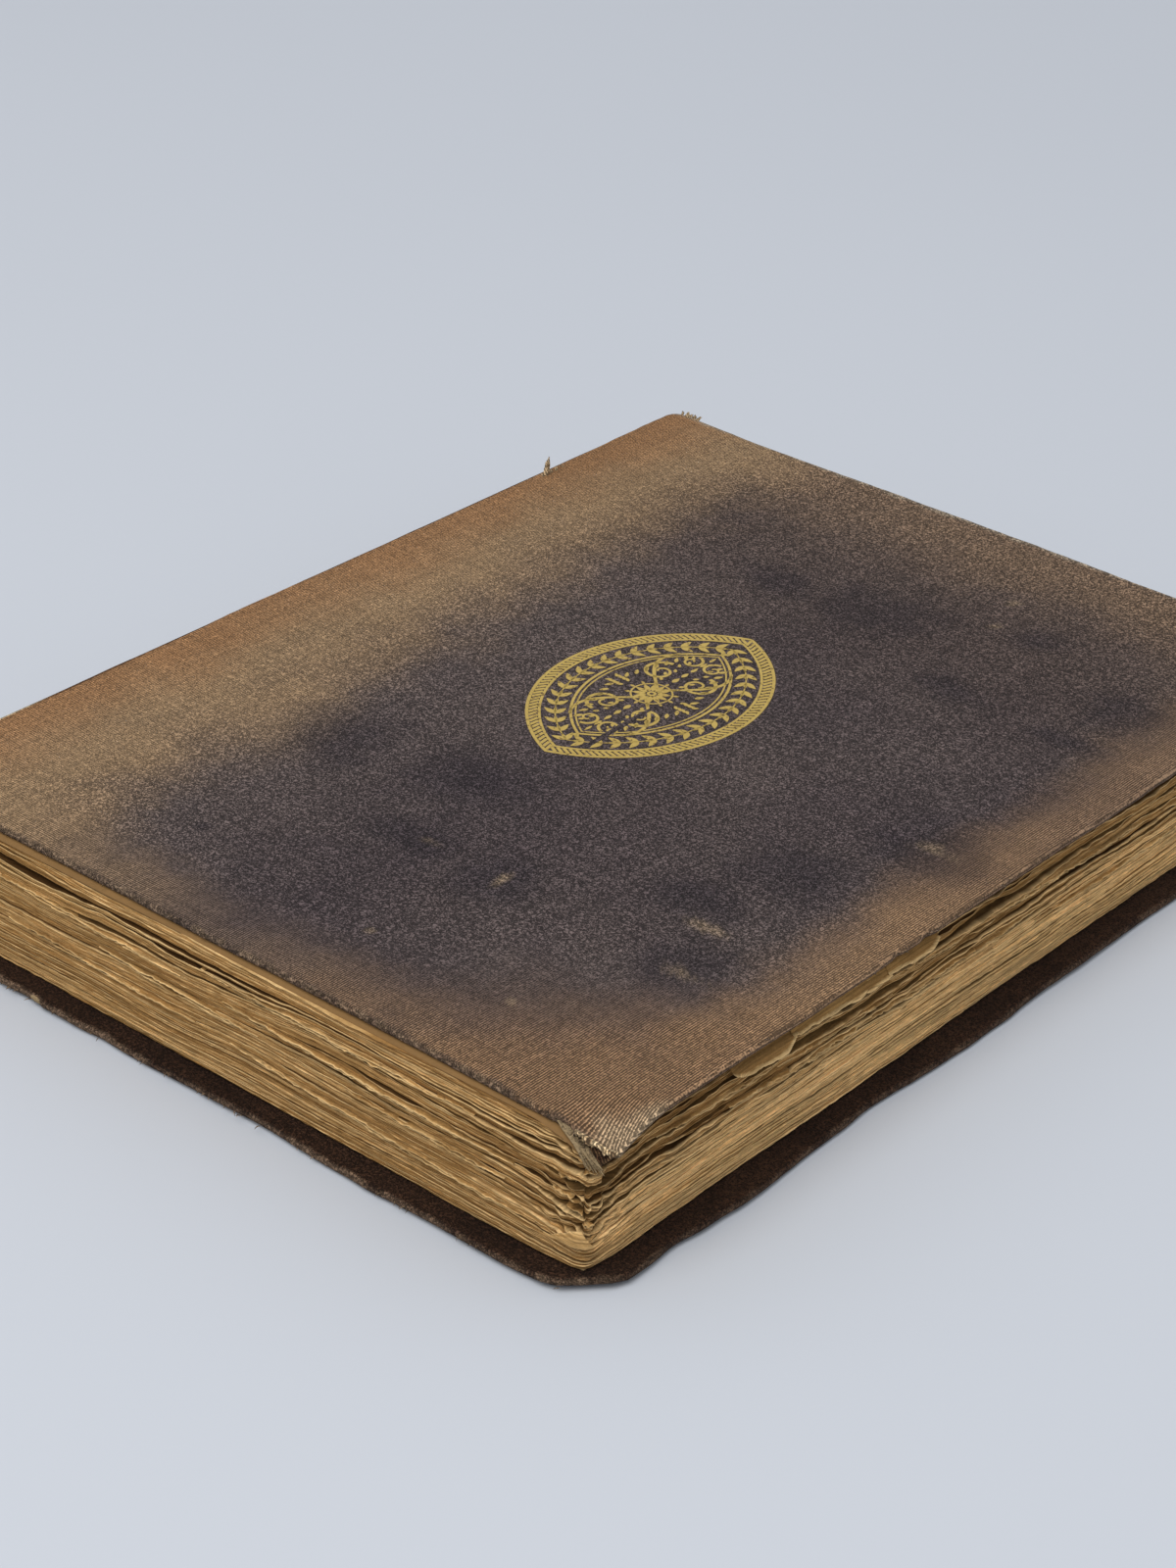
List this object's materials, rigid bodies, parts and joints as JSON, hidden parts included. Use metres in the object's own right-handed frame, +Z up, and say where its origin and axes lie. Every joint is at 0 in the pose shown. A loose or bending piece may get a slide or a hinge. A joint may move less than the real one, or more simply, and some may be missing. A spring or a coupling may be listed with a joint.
{
  "type": "antique cloth-bound book",
  "caption": "Old quarto book lying on its back cover, with deckle-edged leaves, worn cloth covers that open on the spine joints and a gilt centrepiece.",
  "frame": {"origin": "on the table, under the middle of the whole book's outline", "axes": "+X from the spine to the fore-edge, +Y from the tail to the head, +Z up out of the front cover"},
  "size_m": [0.2071, 0.2786, 0.0336],
  "materials": {
    "cover_cloth": "grained book cloth, faded and worn along the edges",
    "board": "grey pasteboard",
    "leaves": "old tan paper with torn edges",
    "endpaper": "old cream paper",
    "gilt": "gold leaf blocked on cloth",
    "mull": "open starched gauze",
    "lining": "brown paper",
    "tape": "woven linen tape"
  },
  "bodies": {
    "book_block": {"text_block": "leaves", "front_free_endpaper": "endpaper", "back_free_endpaper": "endpaper", "spine_mull": "mull", "spine_paper_lining": "lining", "spine_inlay": "lining", "spine_cloth": "cover_cloth", "sewing_tape_1": "tape", "sewing_tape_2": "tape", "sewing_tape_3": "tape", "sewing_tape_4": "tape"},
    "front_cover": {"front_board": "board", "front_cover_cloth": "cover_cloth", "front_pastedown": "endpaper", "gilt_centrepiece": "gilt"},
    "back_cover": {"back_board": "board", "back_cover_cloth": "cover_cloth", "back_pastedown": "endpaper"}
  },
  "joints": [
    {"name": "front_cover_hinge", "type": "hinge", "parent": "book_block", "child": "front_cover", "pos_m": [-0.10265, 0.0042, 0.0326], "axis": [0, 1, 0], "range_deg": [-180, 0]},
    {"name": "back_cover_hinge", "type": "hinge", "parent": "book_block", "child": "back_cover", "pos_m": [-0.09895, -0.0042, 0.0009], "axis": [0, 1, 0], "range_deg": [0, 180]}
  ]
}
